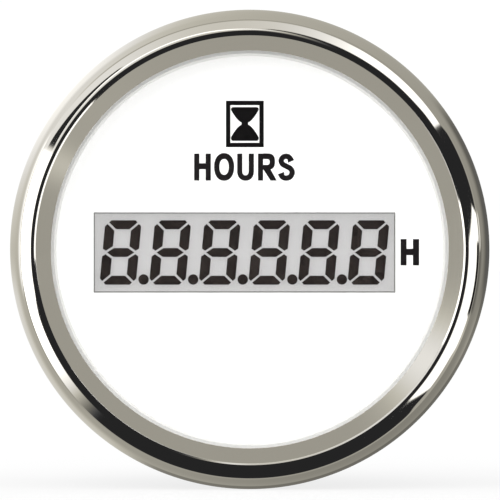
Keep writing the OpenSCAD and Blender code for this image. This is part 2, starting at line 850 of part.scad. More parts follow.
// Black moulded cup with posts for the board, ribs along the barrel and a shroud round the blades.
module housing() {
  bore_z = board_rear_z - board_screw_bite - screw_r;
  slot_w = blade_w + 2 * blade_fit;
  slot_t = blade_t + 2 * blade_fit;
  rib_start_z = -pilot_l - (pilot_r - barrel_r) / 2;
  rib_end_z = rear_z + rear_round + rib_h;
  color("#202124")
    faced()
      difference() {
        union() {
          rotate_extrude() housing_section();
          for (p = board_screws_at)
            intersection() {
              translate([p[0], p[1], floor_z - rear_t / 2])
                cylinder(d = post_d, h = board_rear_z - floor_z + rear_t / 2);
              translate([0, 0, rear_z]) cylinder(r = barrel_in_r + wall_t / 2, h = body_l);
            }
          for (i = [0 : rib_count - 1])
            rotate([0, 0, (i + 0.5) * 360 / rib_count])
              translate([barrel_r - wall_t / 2, -rib_w / 2, rib_end_z])
                cube([wall_t / 2 + rib_h, rib_w, rib_start_z - rib_end_z]);
          translate([0, -blade_drop, rear_z - shroud_h]) linear_extrude(shroud_h + rear_t / 2) shroud_plan();
        }
        for (p = board_screws_at)
          translate([p[0], p[1], bore_z])
            cylinder(r = screw_r + screw_clear / 2, h = board_rear_z - bore_z + cut);
        for (x = blades_at)
          translate([x, -blade_drop, rear_z])
            cube([slot_w, slot_t, 2 * (shroud_h + rear_t + cut)], center = true);
        for (x = studs_at)
          translate([x, 0, rear_z - cut]) cylinder(r = stud_r + stud_clear, h = rear_t + 2 * cut);
      }
}

// Three flat blades with shoulders inside the rear wall and a leg to the board.
module terminal_blades() {
  tip_z = rear_z - shroud_h - blade_l;
  tip_in = blade_w * 0.15;
  tip_h = blade_w * 0.25;
  stop_h = blade_t * 1.5;
  stop_w = blade_t * 0.75;
  hole_z = rear_z - shroud_h - blade_l * 0.6;
  color("khaki")
    faced()
      for (x = blades_at)
        translate([x, -blade_drop, 0])
          rotate([90, 0, 0])
            translate([0, 0, -blade_t / 2])
              linear_extrude(blade_t)
                difference() {
                  polygon([
                    [tip_in - blade_w / 2, tip_z],
                    [blade_w / 2 - tip_in, tip_z],
                    [blade_w / 2, tip_z + tip_h],
                    [blade_w / 2, floor_z],
                    [blade_w / 2 + stop_w, floor_z],
                    [blade_w / 2 + stop_w, floor_z + stop_h],
                    [leg_w / 2, floor_z + stop_h],
                    [leg_w / 2, board_z],
                    [-leg_w / 2, board_z],
                    [-leg_w / 2, floor_z + stop_h],
                    [-blade_w / 2 - stop_w, floor_z + stop_h],
                    [-blade_w / 2 - stop_w, floor_z],
                    [-blade_w / 2, floor_z],
                    [-blade_w / 2, tip_z + tip_h]
                  ]);
                  translate([0, hole_z]) circle(d = blade_hole_d);
                }
}

// Two studs with round heads inside the rear wall.
module mounting_studs() {
  point = stud_d * 0.15;
  color("lightsteelblue")
    faced()
      for (x = studs_at)
        translate([x, 0, 0])
          rotate_extrude()
            polygon([
              [0, stud_end_z],
              [stud_r - point, stud_end_z],
              [stud_r, stud_end_z + point],
              [stud_r, floor_z],
              [stud_head_d / 2, floor_z],
              [stud_head_d / 2, floor_z + stud_head_h],
              [0, floor_z + stud_head_h]
            ]);
}

// Two thin six-sided nuts that hold the studs in the rear wall.
module lock_nuts() {
  sides = 6;
  flat_r = lock_nut_af / 2;
  corner_r = flat_r / cos(180 / sides);
  bevel_h = (corner_r - flat_r) * 0.6;
  color("lightsteelblue")
    faced()
      for (x = studs_at)
        translate([x, 0, lock_nut_z])
          difference() {
            intersection() {
              cylinder(r = corner_r, h = lock_nut_h, $fn = sides);
              rotate_extrude()
                polygon([
                  [0, 0],
                  [flat_r, 0],
                  [corner_r + cut, bevel_h * (corner_r + cut - flat_r) / (corner_r - flat_r)],
                  [corner_r + cut, lock_nut_h],
                  [0, lock_nut_h]
                ]);
            }
            translate([0, 0, -cut]) cylinder(r = stud_r + stud_clear, h = lock_nut_h + 2 * cut);
          }
}

// Flat ring that seals the bezel on the panel.
module panel_gasket() {
  color("#303030")
    faced() ring(pilot_r + gasket_gap, bezel_r - bezel_sheet, 0, panel_gasket_t);
}

// One half of the bent strip, in side view: half the base, a bend, a leg, a bend and a foot.
module bracket_half_section() {
  leg_x = pilot_r + leg_gap;
  out_r = bend_r + bracket_t;
  translate([0, base_z - bracket_t]) square([leg_x - bend_r, bracket_t]);
  translate([leg_x - bend_r, base_z + bend_r]) quarter_band(bend_r, out_r, 1, -1);
  translate([leg_x, base_z + bend_r]) square([bracket_t, foot_z - out_r - base_z - bend_r]);
  translate([leg_x + out_r, foot_z - out_r]) quarter_band(bend_r, out_r, -1, 1);
  translate([leg_x + out_r, foot_z - bracket_t]) square([foot_l - out_r, bracket_t]);
}

// Bent steel strip that pulls the meter against the panel.
module clamp_bracket() {
  color("lightgray")
    faced()
      difference() {
        rotate([90, 0, 0])
          translate([0, 0, -bracket_w / 2])
            linear_extrude(bracket_w) {
              bracket_half_section();
              mirror([1, 0]) bracket_half_section();
            }
        for (x = studs_at)
          translate([x, 0, base_z - bracket_t - cut])
            cylinder(r = stud_r + bracket_hole_gap, h = bracket_t + 2 * cut);
      }
}

// Two split spring washers under the thumb nuts.
module spring_washers() {
  inner_r = stud_r + 2 * stud_clear;
  color("lightsteelblue")
    faced()
      for (x = studs_at)
        translate([x, 0, 0])
          difference() {
            ring(inner_r, washer_d / 2, nut_z, washer_t);
            translate([0, -washer_split / 2, nut_z - cut]) cube([washer_d, washer_split, washer_t + 2 * cut]);
          }
}

// Thumb nut with a smooth collar and a knurled head with bevelled edges.
module thumb_nut() {
  knob_r = knob_d / 2;
  bevel = knurl_depth;
  groove_w = PI * knob_d / knurl_count * 0.5;
  head_z = nut_z - collar_h;
  difference() {
    union() {
      translate([0, 0, head_z - cut]) cylinder(d = collar_d, h = collar_h + cut);
      intersection() {
        translate([0, 0, head_z - knob_h])
          linear_extrude(knob_h)
            difference() {
              circle(knob_r);
              for (i = [0 : knurl_count - 1])
                rotate(i * 360 / knurl_count)
                  polygon([
                    [knob_r - knurl_depth, 0],
                    [knob_r + knurl_depth, groove_w],
                    [knob_r + knurl_depth, -groove_w]
                  ]);
            }
        rotate_extrude()
          polygon([
            [0, head_z - knob_h],
            [knob_r - bevel, head_z - knob_h],
            [knob_r, head_z - knob_h + bevel],
            [knob_r, head_z - bevel],
            [knob_r - bevel, head_z],
            [0, head_z]
          ]);
      }
    }
    translate([0, 0, head_z - knob_h - cut])
      cylinder(r = stud_r + thread_gap, h = knob_h + collar_h + 2 * cut);
  }
}

// Left thumb nut.
module thumb_nut_left() {
  color("gold")
    faced() translate([-stud_x, 0, 0]) thumb_nut();
}

// Right thumb nut.
module thumb_nut_right() {
  color("gold")
    faced() translate([stud_x, 0, 0]) thumb_nut();
}

bezel();
lens_gasket();
lens();
dial_ring();
dial();
lcd_front_film();
lcd_front_glass();
lcd_seal();
lcd_segments();
lcd_rear_glass();
lcd_rear_film();
light_guide();
lcd_holder();
contact_strips();
circuit_board();
backlight_lamps();
controller();
memory_chip();
crystal();
regulator();
capacitor();
surge_diode();
resistors();
board_screws();
housing();
terminal_blades();
mounting_studs();
lock_nuts();
panel_gasket();
clamp_bracket();
spring_washers();
thumb_nut_left();
thumb_nut_right();
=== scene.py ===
import bpy
import numpy as np
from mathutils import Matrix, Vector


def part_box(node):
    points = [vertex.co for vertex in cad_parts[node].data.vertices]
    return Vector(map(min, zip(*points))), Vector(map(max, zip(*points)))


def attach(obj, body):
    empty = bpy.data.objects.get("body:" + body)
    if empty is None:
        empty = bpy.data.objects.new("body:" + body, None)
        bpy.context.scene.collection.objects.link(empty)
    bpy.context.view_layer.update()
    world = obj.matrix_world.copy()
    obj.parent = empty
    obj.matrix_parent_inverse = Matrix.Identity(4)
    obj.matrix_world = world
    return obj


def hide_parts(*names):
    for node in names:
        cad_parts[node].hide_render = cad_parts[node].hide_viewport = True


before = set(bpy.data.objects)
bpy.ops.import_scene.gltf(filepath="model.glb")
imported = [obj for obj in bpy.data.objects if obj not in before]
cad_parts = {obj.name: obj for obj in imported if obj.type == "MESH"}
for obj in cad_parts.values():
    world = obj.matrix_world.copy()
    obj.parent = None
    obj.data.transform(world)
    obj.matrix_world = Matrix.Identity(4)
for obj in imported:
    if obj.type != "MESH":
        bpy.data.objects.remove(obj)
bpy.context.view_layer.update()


# Housing
# A black cup moulded in glass-filled PBT, with a flange in front, a barrel that fits the panel hole
# and ribs along its rear half. The mould is spark-eroded, which leaves a fine even grain.
MM = 0.001


def linear(code):
    """sRGB hex to linear RGBA: a channel c is c / 12.92 when small, else
    ((c + 0.055) / 1.055) ^ 2.4."""
    c = np.array([int(code[i:i + 2], 16) for i in (1, 3, 5)]) / 255
    return (*np.where(c <= 0.04045, c / 12.92, ((c + 0.055) / 1.055) ** 2.4), 1.0)


def add(tree, kind, sockets, **settings):
    """Adds one shader node: settings are its properties, sockets its inputs by name or number, each
    given a value or the output of another node."""
    made = tree.nodes.new("ShaderNode" + kind)
    for key, value in settings.items():
        setattr(made, key, value)
    for key, value in sockets.items():
        if isinstance(value, bpy.types.NodeSocket):
            tree.links.new(value, made.inputs[key])
        else:
            made.inputs[key].default_value = value
    return made


def grained(name, dark, light, grain, rough, depth, stretch=(1, 1, 1), **sockets):
    """A Principled finish that wanders between two colours and two roughnesses with noise of one
    grain size in millimetres, pressed in by depth millimetres. Stretch lengthens the grain along X,
    Y and Z. Noise mostly runs from 0.3 to 0.7, so the roughnesses are spread over that."""
    made = bpy.data.materials.new(name)
    made.use_nodes = True
    tree = made.node_tree
    shader = tree.nodes["Principled BSDF"]
    place = add(tree, "TexCoord", {})
    scaled = add(tree, "Mapping", {"Vector": place.outputs["Object"],
                                   "Scale": [1 / s for s in stretch]})
    noise = add(tree, "TexNoise", {"Vector": scaled.outputs["Vector"], "Scale": 1 / (grain * MM),
                                   "Detail": 3.0, "Roughness": 0.6})
    tone = add(tree, "Mix", {0: noise.outputs["Fac"], 6: linear(dark), 7: linear(light)},
               data_type="RGBA")
    gloss = add(tree, "MapRange", {"Value": noise.outputs["Fac"], "From Min": 0.3, "From Max": 0.7,
                                   "To Min": rough[0], "To Max": rough[1]})
    relief = add(tree, "Bump", {"Height": noise.outputs["Fac"], "Distance": depth * MM,
                                "Strength": 1.0})
    tree.links.new(tone.outputs[2], shader.inputs["Base Color"])
    tree.links.new(gloss.outputs["Result"], shader.inputs["Roughness"])
    tree.links.new(relief.outputs["Normal"], shader.inputs["Normal"])
    for key, value in sockets.items():
        shader.inputs[key.replace("_", " ")].default_value = value
    return made


def dress(finish, *names):
    """Puts a finish on CAD nodes."""
    for name in names:
        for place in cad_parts[name].material_slots:
            place.material = finish


# An even black with little gloss, a soft sheen on its edges. Spark-eroded grain is about 0.1 mm; it
# is drawn at 0.3 mm so that it shows.
black_pbt = grained("moulded_black_pbt", "#121315", "#1f2022", 0.3, (0.42, 0.58), 0.012, IOR=1.57)
dress(black_pbt, "housing")


# Studs and their lock nuts
# Two steel studs with rolled metric threads stand out of the rear wall, their round heads inside it
# and a thin six-sided nut outside. All are zinc plated and clear passivated.
STUD_X, STUD_R, STUD_POINT, STUD_END_R = 16.0, 2.0, 0.6, 0.05
STUD_HEAD_R, STUD_HEAD_T, STUD_HEAD_BEVEL = 3.5, 1.6, 0.2
THREAD_PITCH, THREAD_DEPTH, THREAD_RUN_IN = 0.7, 0.4, 0.4


def shell(name, points, quads, fans, finish, body):
    """Makes a closed smooth mesh from points in millimetres, quads and triangles; it is turned
    inside out when the sum of its corner triple products is negative, so its faces end up pointing
    outwards."""
    triangles = np.vstack([quads[:, [0, 1, 2]], quads[:, [0, 2, 3]], fans])
    a, b, c = (points[triangles[:, k]] for k in range(3))
    outwards = np.einsum("ij,ij->", a, np.cross(b, c)) > 0
    order = slice(None) if outwards else slice(None, None, -1)
    mesh = bpy.data.meshes.new(name)
    faces = quads[:, order].tolist() + fans[:, order].tolist()
    mesh.from_pydata((points * MM).tolist(), [], faces)
    mesh.polygons.foreach_set("use_smooth", np.ones(len(mesh.polygons), bool))
    mesh.materials.append(finish)
    piece = bpy.data.objects.new(name, mesh)
    bpy.context.collection.objects.link(piece)
    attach(piece, body)
    return piece


def grid_quads(rows, turns, shut):
    """Quads of a grid of rows by turns whose turns close on themselves; shut joins the last row to
    the first."""
    i, j = np.meshgrid(np.arange(rows if shut else rows - 1), np.arange(turns), indexing="ij")
    k, m = (i + 1) % rows, (j + 1) % turns
    corners = [i * turns + j, i * turns + m, k * turns + m, k * turns + j]
    return np.stack(corners, -1).reshape(-1, 4)


def threaded_stud(x):
    """A stud along Y at x: the radius is the thread radius less a triangle wave of y / pitch minus
    the angle in turns, so the ridge climbs as a right-hand helix. The wave is made steeper and cut
    off, which leaves flats on crest and root. Head and point are plain rows before and after it."""
    low, high = (end.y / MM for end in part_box("mounting_studs"))
    neck, tip = low + STUD_HEAD_T, high - STUD_POINT
    turns, rows_a_pitch, steepness, crest_flat = 48, 10, 1.25, 0.12
    angle = np.arange(turns) * 2 * np.pi / turns
    shank = np.arange(neck, tip, THREAD_PITCH / rows_a_pitch)
    wave = np.abs(((shank[:, None] / THREAD_PITCH - angle / (2 * np.pi)) % 1) * 2 - 1)
    cut = THREAD_DEPTH * np.clip(steepness * wave - crest_flat, 0, 1)
    run_in = np.clip((shank - neck) / THREAD_RUN_IN, 0, 1)[:, None]
    bevel_r = STUD_HEAD_R - STUD_HEAD_BEVEL
    head_y = [low, low, low + STUD_HEAD_BEVEL, neck - STUD_HEAD_BEVEL, neck]
    head_r = np.array([STUD_END_R, bevel_r, STUD_HEAD_R, STUD_HEAD_R, bevel_r])
    tip_r = np.array([STUD_R - THREAD_DEPTH / 2, STUD_R - STUD_POINT, STUD_END_R])
    y = np.concatenate([head_y, shank, [tip, high, high]])
    plain = np.ones((1, turns))
    r = np.vstack([head_r[:, None] * plain, STUD_R - cut * run_in, tip_r[:, None] * plain])
    points = np.stack([x + r * np.sin(angle), y[:, None] + 0 * r, r * np.cos(angle)], -1)
    ends = np.array([[x, low, 0], [x, high, 0]])
    rows = len(y)
    j = np.arange(turns)
    following = (j + 1) % turns
    last_row = (rows - 1) * turns
    first_end = 0 * j + rows * turns
    start = np.stack([first_end, following, j], -1)
    stop = np.stack([first_end + 1, last_row + j, last_row + following], -1)
    points = np.vstack([points.reshape(-1, 3), ends])
    return points, grid_quads(rows, turns, False), np.vstack([start, stop])


# Zinc looks soft and bluish grey, clouded in patches some millimetres wide.
zinc = grained("zinc_plated_steel", "#a3a8ad", "#c6cacd", 2.5, (0.26, 0.4), 0.004, Metallic=1.0)
left_points, left_quads, left_fans = threaded_stud(-STUD_X)
right_points, right_quads, right_fans = threaded_stud(STUD_X)
studs = shell("threaded_studs", np.vstack([left_points, right_points]),
              np.vstack([left_quads, right_quads + len(left_points)]),
              np.vstack([left_fans, right_fans + len(left_points)]), zinc, "meter")
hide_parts("mounting_studs")
dress(zinc, "lock_nuts", "board_screws")


# Terminals
# Three push-on blades punched from brass strip and tin plated, pressed through slots in the rear
# wall and soldered to the board.

# A warm silver with faint lines along each blade. Rolling lines are some hundredths of a millimetre
# apart; they are drawn at 0.25 mm so that they show.
tinned = grained("tin_plated_brass", "#b9b3a1", "#d8d4c6", 0.25, (0.24, 0.4), 0.004,
                 stretch=(1, 12, 1), Metallic=1.0)
dress(tinned, "terminal_blades")


# Circuit board
# A round glass-cloth laminate under green solder lacquer, held on the posts of the housing by three
# screws.

# A glossy deep green, through which the cloth shows as a fine check. Its threads are about 0.5 mm
# apart.
THREAD_GAP = 0.5
board = grained("green_lacquered_laminate", "#0d3a22", "#185c37", 0.9, (0.28, 0.42), 0.003, IOR=1.5)
tree = board.node_tree
place = add(tree, "TexCoord", {})
cloth = add(tree, "TexChecker", {"Vector": place.outputs["Object"], "Scale": 1 / (THREAD_GAP * MM),
                                 "Color1": linear("#124628"), "Color2": linear("#1b6a40")})
shader = tree.nodes["Principled BSDF"]
lacquer = shader.inputs["Base Color"].links[0].from_socket
tone = add(tree, "Mix", {0: 0.5, 6: lacquer, 7: cloth.outputs["Color"]}, data_type="RGBA")
tree.links.new(tone.outputs[2], shader.inputs["Base Color"])
dress(board, "circuit_board")


# Parts on the board
# Chips, regulator, diode and resistors moulded in epoxy, a crystal and a capacitor in drawn metal
# cans, and lamps cast in clear resin, all soldered to the board.

# Moulded epoxy is charcoal and matt.
epoxy = grained("moulded_epoxy", "#17181a", "#2a2b2e", 0.4, (0.5, 0.66), 0.006, IOR=1.55)
dress(epoxy, "controller", "memory_chip", "regulator", "surge_diode", "resistors")
# Drawn aluminium is a bright satin silver.
can = grained("drawn_aluminium_can", "#b4b6b8", "#d2d3d4", 0.8, (0.22, 0.36), 0.003, Metallic=1.0)
dress(can, "crystal", "capacitor")
# Clear resin over its yellow filling looks glassy and pale yellow.
resin = grained("clear_lamp_resin", "#d8cf86", "#efe8b4", 0.6, (0.12, 0.24), 0.002, IOR=1.53)
dress(resin, "backlight_lamps")


# Display holder, light guide and contact strips
# The holder is a disc moulded in ABS, the guide is acrylic with a frosted rear, and the strips are
# silicone, laid up from conducting and insulating bands and pressed between glass and board.

# Moulded ABS is a clean white with a satin gloss.
abs_white = grained("moulded_white_abs", "#f1f1ee", "#f9f9f7", 0.5, (0.4, 0.52), 0.004, IOR=1.54)
dress(abs_white, "lcd_holder")
# Frosted acrylic is milky and cool, and lets part of the light through.
acrylic = grained("frosted_acrylic", "#dfe9ea", "#eef5f5", 0.4, (0.2, 0.34), 0.003, IOR=1.49,
                  Transmission_Weight=0.6)
dress(acrylic, "light_guide")
# Banded silicone is rubbery and dull, dark bands between pale ones. Bands are about 0.1 mm apart;
# they are drawn at 0.4 mm so that they show. A wave texture of scale 1 repeats every 0.314 units.
BAND_GAP, WAVE_LENGTH = 0.4, 0.314
banded = grained("banded_silicone", "#3a3a40", "#55555c", 0.5, (0.5, 0.62), 0.003, IOR=1.41)
tree = banded.node_tree
place = add(tree, "TexCoord", {})
bands = add(tree, "TexWave", {"Vector": place.outputs["Object"],
                              "Scale": WAVE_LENGTH / (BAND_GAP * MM), "Distortion": 0.2},
            wave_type="BANDS", bands_direction="X")
tone = add(tree, "Mix", {0: bands.outputs["Fac"], 6: linear("#26262a"), 7: linear("#8a8a90")},
           data_type="RGBA")
tree.links.new(tone.outputs[2], tree.nodes["Principled BSDF"].inputs["Base Color"])
dress(banded, "contact_strips")


# Liquid crystal cell
# Two glasses sealed round their edge with the segments between them, a clear polariser bonded to
# the front and a reflecting polariser to the rear.
SKIN_DRAWN_IN = 0.004


def see_through(name, tint, index, rough):
    """A clear sheet: light goes straight through it, tinted, and the Fresnel share is mirrored. As
    the light isn't bent on its way in, its rear face takes the inverse index, which gives the share
    of the front face."""
    made = bpy.data.materials.new(name)
    made.use_nodes = True
    tree = made.node_tree
    tree.nodes.remove(tree.nodes["Principled BSDF"])
    clear = add(tree, "BsdfTransparent", {"Color": linear(tint)})
    mirror = add(tree, "BsdfGlossy", {"Roughness": rough})
    side = add(tree, "NewGeometry", {})
    facing = add(tree, "MapRange", {"Value": side.outputs["Backfacing"],
                                    "To Min": index, "To Max": 1 / index})
    share = add(tree, "Fresnel", {"IOR": facing.outputs["Result"]})
    both = add(tree, "MixShader", {0: share.outputs["Fac"], 1: clear.outputs["BSDF"],
                                   2: mirror.outputs["BSDF"]})
    tree.links.new(both.outputs["Shader"], tree.nodes["Material Output"].inputs["Surface"])
    return made


def thinned(*names):
    """Draws the faces of clear CAD nodes in by a few thousandths of a millimetre, so that no clear
    face lies in the same plane as the face it touches."""
    for name in names:
        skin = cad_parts[name].modifiers.new("thinned", "DISPLACE")
        skin.strength = -SKIN_DRAWN_IN * MM
        skin.mid_level = 0.0


# Glass bonded on both sides hardly mirrors, so it gets the small step of index to its neighbours.
cell_glass = see_through("sheet_glass", "#fefefe", 1.06, 0.02)
dress(cell_glass, "lcd_front_glass", "lcd_rear_glass")
# The front film is clear, with a dull coat against glare.
front_film = see_through("front_polariser_film", "#fdfdfd", 1.2, 0.12)
dress(front_film, "lcd_front_film")
thinned("lcd_front_glass", "lcd_rear_glass", "lcd_front_film")
# The rear film is the even silver-grey ground of the digits. Its glow is painted light standing for
# the guide's light, which evens out the shade in the recess behind the window and under the
# segments.
rear_film_painted_glow = grained("reflecting_polariser_film_painted_glow", "#7a7877", "#828080", 0.3, (0.5, 0.62), 0.001,
                    Emission_Color=linear("#ffffff"), Emission_Strength=0.52)
dress(rear_film_painted_glow, "lcd_rear_film")
# Cured sealant is a dull putty grey.
seal = grained("cell_sealant", "#a8a79f", "#bdbcb4", 0.4, (0.5, 0.6), 0.002)
dress(seal, "lcd_seal")
# Switched crystal stops the light, a soft brown-black with no gloss of its own.
segments = grained("darkened_crystal", "#251f1d", "#2e2724", 0.5, (0.4, 0.5), 0.001,
                   Specular_IOR_Level=0.1)
dress(segments, "lcd_segments")


# Dial
# A white plastic plate, screen printed: an hourglass sign, the word and the unit letter in black. A
# thin grey line round the window is painted shadow of the window's edge, drawn like print. The ink
# stands a few hundredths of a millimetre proud.
DIAL_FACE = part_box("dial")[0].y / MM
INK_T, INK_SPREAD = 0.03, 0.022
# The second pair holds how far the film reaches behind the dial and the width of the painted shadow
# line round the window.
FILM_OVERLAP, WINDOW_SHADOW_W = 0.55, 0.15
CAP_TOP, CAP_FOOT = 12.44, 8.93
UNIT_TOP, UNIT_FOOT = 1.349, -2.075


def band(one, other, closed=False):
    """One printed stroke: its two edge lines, right and up from the dial's centre, carried as a
    flat section of four corners along the stroke; a closed stroke joins its end to its start, an
    open one has square ends. The ink spreads past both lines, straight across the stroke. Faces
    are turned outwards by the sign of the sum of their corner triple products."""
    one, other = np.asarray(one, float), np.asarray(other, float)
    across = (one - other) / np.linalg.norm(one - other, axis=1)[:, None] * INK_SPREAD
    one, other = one + across, other - across
    face, foot = DIAL_FACE - INK_T, DIAL_FACE
    corners = [(one, face), (other, face), (other, foot), (one, foot)]
    lines = [np.stack([e[:, 0], np.full(len(e), y), e[:, 1]], -1) for e, y in corners]
    points = np.stack(lines, 1).reshape(-1, 3)
    quads = grid_quads(len(one), 4, closed)
    if not closed:
        last = 4 * (len(one) - 1)
        quads = np.vstack([quads, [[3, 2, 1, 0]], [[last, last + 1, last + 2, last + 3]]])
    a, b, c, d = (points[quads[:, k]] for k in range(4))
    if np.einsum("ij,ij->", a, np.cross(b, c)) + np.einsum("ij,ij->", a, np.cross(c, d)) < 0:
        quads = quads[:, ::-1]
    return points, quads


def bar(left, right, foot, top):
    """A straight upright stroke."""
    return band([[left, foot], [left, top]], [[right, foot], [right, top]])


def printed(name, strokes, finish):
    """Joins printed strokes into one flat-shaded piece on the dial."""
    starts = np.cumsum([0] + [len(p) for p, q in strokes[:-1]])
    points = np.vstack([p for p, q in strokes])
    quads = np.vstack([q + s for s, (p, q) in zip(starts, strokes)])
    piece = shell(name, points, quads, np.zeros((0, 3), int), finish, "meter")
    flat = np.zeros(len(piece.data.polygons), bool)
    piece.data.polygons.foreach_set("use_smooth", flat)


def oval(x, z, half_w, half_h, start, stop, power=2.2):
    """48 points on a superellipse about (x, z), from one angle to another in degrees: right by the
    half width times cosine ^ (2 / power), up by the half height times sine ^ (2 / power)."""
    t = np.radians(np.linspace(start, stop, 48))
    c, s = np.cos(t), np.sin(t)
    return np.stack([x + half_w * np.sign(c) * np.abs(c) ** (2 / power),
                     z + half_h * np.sign(s) * np.abs(s) ** (2 / power)], -1)


def smooth_line(knots):
    """A Catmull-Rom curve through the knots, with 12 points from each knot to the next."""
    k = np.vstack([2 * knots[0] - knots[1], knots, 2 * knots[-1] - knots[-2]])
    t = np.linspace(0, 1, 12, endpoint=False)[:, None, None]
    a, b, c, d = k[:-3], k[1:-2], k[2:-1], k[3:]
    bent = (2 * a - 5 * b + 4 * c - d) * t ** 2 + (3 * b - a - 3 * c + d) * t ** 3
    curve = 0.5 * (2 * b + (c - a) * t + bent)
    return np.vstack([curve.transpose(1, 0, 2).reshape(-1, 2), knots[-1:]])


def stroke(line, width):
    """A stroke along a line, of a width at each point: half of it to either side of the tangent."""
    along = np.gradient(line, axis=0)
    along /= np.linalg.norm(along, axis=1)[:, None]
    across = np.stack([-along[:, 1], along[:, 0]], -1) * width[:, None] / 2
    return band(line + across, line - across)


# The printed white is matt and even.
dial_white = grained("screen_printed_white", "#fafaf9", "#fefefd", 0.4, (0.5, 0.6), 0.002)
dress(dial_white, "dial")
# Screen ink dries to a flat, slightly warm black; printed twice, as the sign is, it is blacker.
ink_black = grained("black_screen_ink", "#110e0f", "#1a1617", 0.4, (0.45, 0.6), 0.002,
                    Specular_IOR_Level=0.1)
ink_dense = grained("double_printed_ink", "#060505", "#0c0b0b", 0.4, (0.45, 0.6), 0.002,
                    Specular_IOR_Level=0.08)
# The line round the window is painted shadow: a plain mid grey standing for the shade that the
# window's edge casts.
window_shadow_ink = grained("painted_window_shadow_grey", "#6f6f6d", "#7d7d7b", 0.4, (0.45, 0.6), 0.002)

# The word and the unit letter, in millimetres right and up from the dial's centre.
RING_END = 352.5  # a closed ring of 48 points ends 7.5 degrees before its start
S_WIDTH, S_SWELL, SWELL_POINTS = 0.65, 0.17, 10
letter_h = [bar(-7.20, -6.56, CAP_FOOT, CAP_TOP),
            bar(-5.71, -5.07, CAP_FOOT, CAP_TOP),
            bar(-6.56, -5.71, 10.40, 11.18)]
letter_o = [band(oval(-3.327, 10.707, 1.278, 1.777, 0, RING_END),
                 oval(-3.327, 10.707, 0.629, 1.051, 0, RING_END), True)]
u_out = oval(-0.544, 10.143, 1.064, 1.206, 180, 360)
u_in = oval(-0.552, 10.143, 0.434, 0.545, 180, 360)
letter_u = [band(np.vstack([[[-1.608, CAP_TOP]], u_out, [[0.519, CAP_TOP]]]),
                 np.vstack([[[-0.986, CAP_TOP]], u_in, [[-0.117, CAP_TOP]]]))]
r_out = oval(2.30, 11.395, 0.956, 1.045, 90, -90, power=2.6)
r_in = oval(2.20, 11.348, 0.407, 0.402, 90, -90, power=2.6)
letter_r = [bar(1.09, 1.712, CAP_FOOT, CAP_TOP),
            band(np.vstack([[[1.712, CAP_TOP]], r_out, [[1.712, 10.35]]]),
                 np.vstack([[[1.712, 11.75]], r_in, [[1.712, 10.947]]])),
            band([[1.80, 10.36], [2.724, CAP_FOOT]], [[2.70, 10.36], [3.489, CAP_FOOT]])]
s_line = smooth_line(np.array([
    [5.375, 11.42], [5.149, 11.921], [4.747, 12.089], [4.306, 11.946], [4.073, 11.505],
    [4.280, 11.064], [4.799, 10.766], [5.292, 10.481], [5.512, 9.988], [5.279, 9.456],
    [4.760, 9.248], [4.241, 9.417], [4.035, 9.91]]))
# The S swells over the last points toward either tip.
from_tip = np.minimum(np.arange(len(s_line)), np.arange(len(s_line))[::-1])
letter_s = [stroke(s_line, S_WIDTH + S_SWELL * np.clip(1 - from_tip / SWELL_POINTS, 0, 1))]
printed("dial_word", letter_h + letter_o + letter_u + letter_r + letter_s, ink_black)
unit_h = [bar(19.60, 20.33, UNIT_FOOT, UNIT_TOP),
          bar(21.195, 21.96, UNIT_FOOT, UNIT_TOP),
          bar(20.33, 21.195, -0.752, 0.078)]
printed("dial_unit", unit_h, ink_black)

# The hourglass: half its width is that of the waist plus a power of the height from the waist, and
# its four corners are rounded by a circle.
FRAME_X, FRAME_Z, FRAME_W = np.array([-3.074, 1.803]), np.array([13.283, 19.28]), 0.545
GLASS_X, GLASS_FOOT, GLASS_TOP, GLASS_ROUND = -0.636, 14.087, 18.466, 0.3
WAIST_Z, WAIST_HALF, WAIST_FLAT = 16.331, 0.41, 0.156
FLARE_REACH, FLARE_HALF, FLARE_POWER = 1.621, 1.373, 0.66
MIDDLE_LOW, MIDDLE_HIGH = 14.42, 18.13
corner = np.array([[0, 0], [1, 0], [1, 1], [0, 1]])
outer = np.stack([FRAME_X[corner[:, 0]], FRAME_Z[corner[:, 1]]], -1)
glass_z = np.concatenate([np.linspace(GLASS_FOOT, GLASS_FOOT + GLASS_ROUND, 13),
                          np.linspace(MIDDLE_LOW, MIDDLE_HIGH, 55),
                          np.linspace(GLASS_TOP - GLASS_ROUND, GLASS_TOP, 13)])
from_waist = np.clip((np.abs(glass_z - WAIST_Z) - WAIST_FLAT) / FLARE_REACH, 0, 1)
from_end = np.clip(GLASS_ROUND - np.minimum(glass_z - GLASS_FOOT, GLASS_TOP - glass_z), 0, None)
glass_half = WAIST_HALF + FLARE_HALF * from_waist ** FLARE_POWER
glass_half = glass_half - GLASS_ROUND + np.sqrt(GLASS_ROUND ** 2 - from_end ** 2)
sign_frame = band(outer, outer + FRAME_W * (1 - 2 * corner), True)
sign_glass = band(np.stack([GLASS_X - glass_half, glass_z], -1),
                  np.stack([GLASS_X + glass_half, glass_z], -1))
printed("dial_hourglass", [sign_frame, sign_glass], ink_dense)

# The painted shadow line stands round the window, which the front film overlaps behind the dial.
film = np.array([[v.x, v.z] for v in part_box("lcd_front_film")]) / MM
window = film + np.array([[FILM_OVERLAP], [-FILM_OVERLAP]])
edge = np.stack([window[corner[:, 0], 0], window[corner[:, 1], 1]], -1)
window_shadow = band(edge, edge + WINDOW_SHADOW_W * (2 * corner - 1), True)
printed("dial_window_painted_shadow", [window_shadow], window_shadow_ink)


# Dial ring
# A white ring moulded in ABS, which keeps the lens off the dial. Its edge is bevelled.

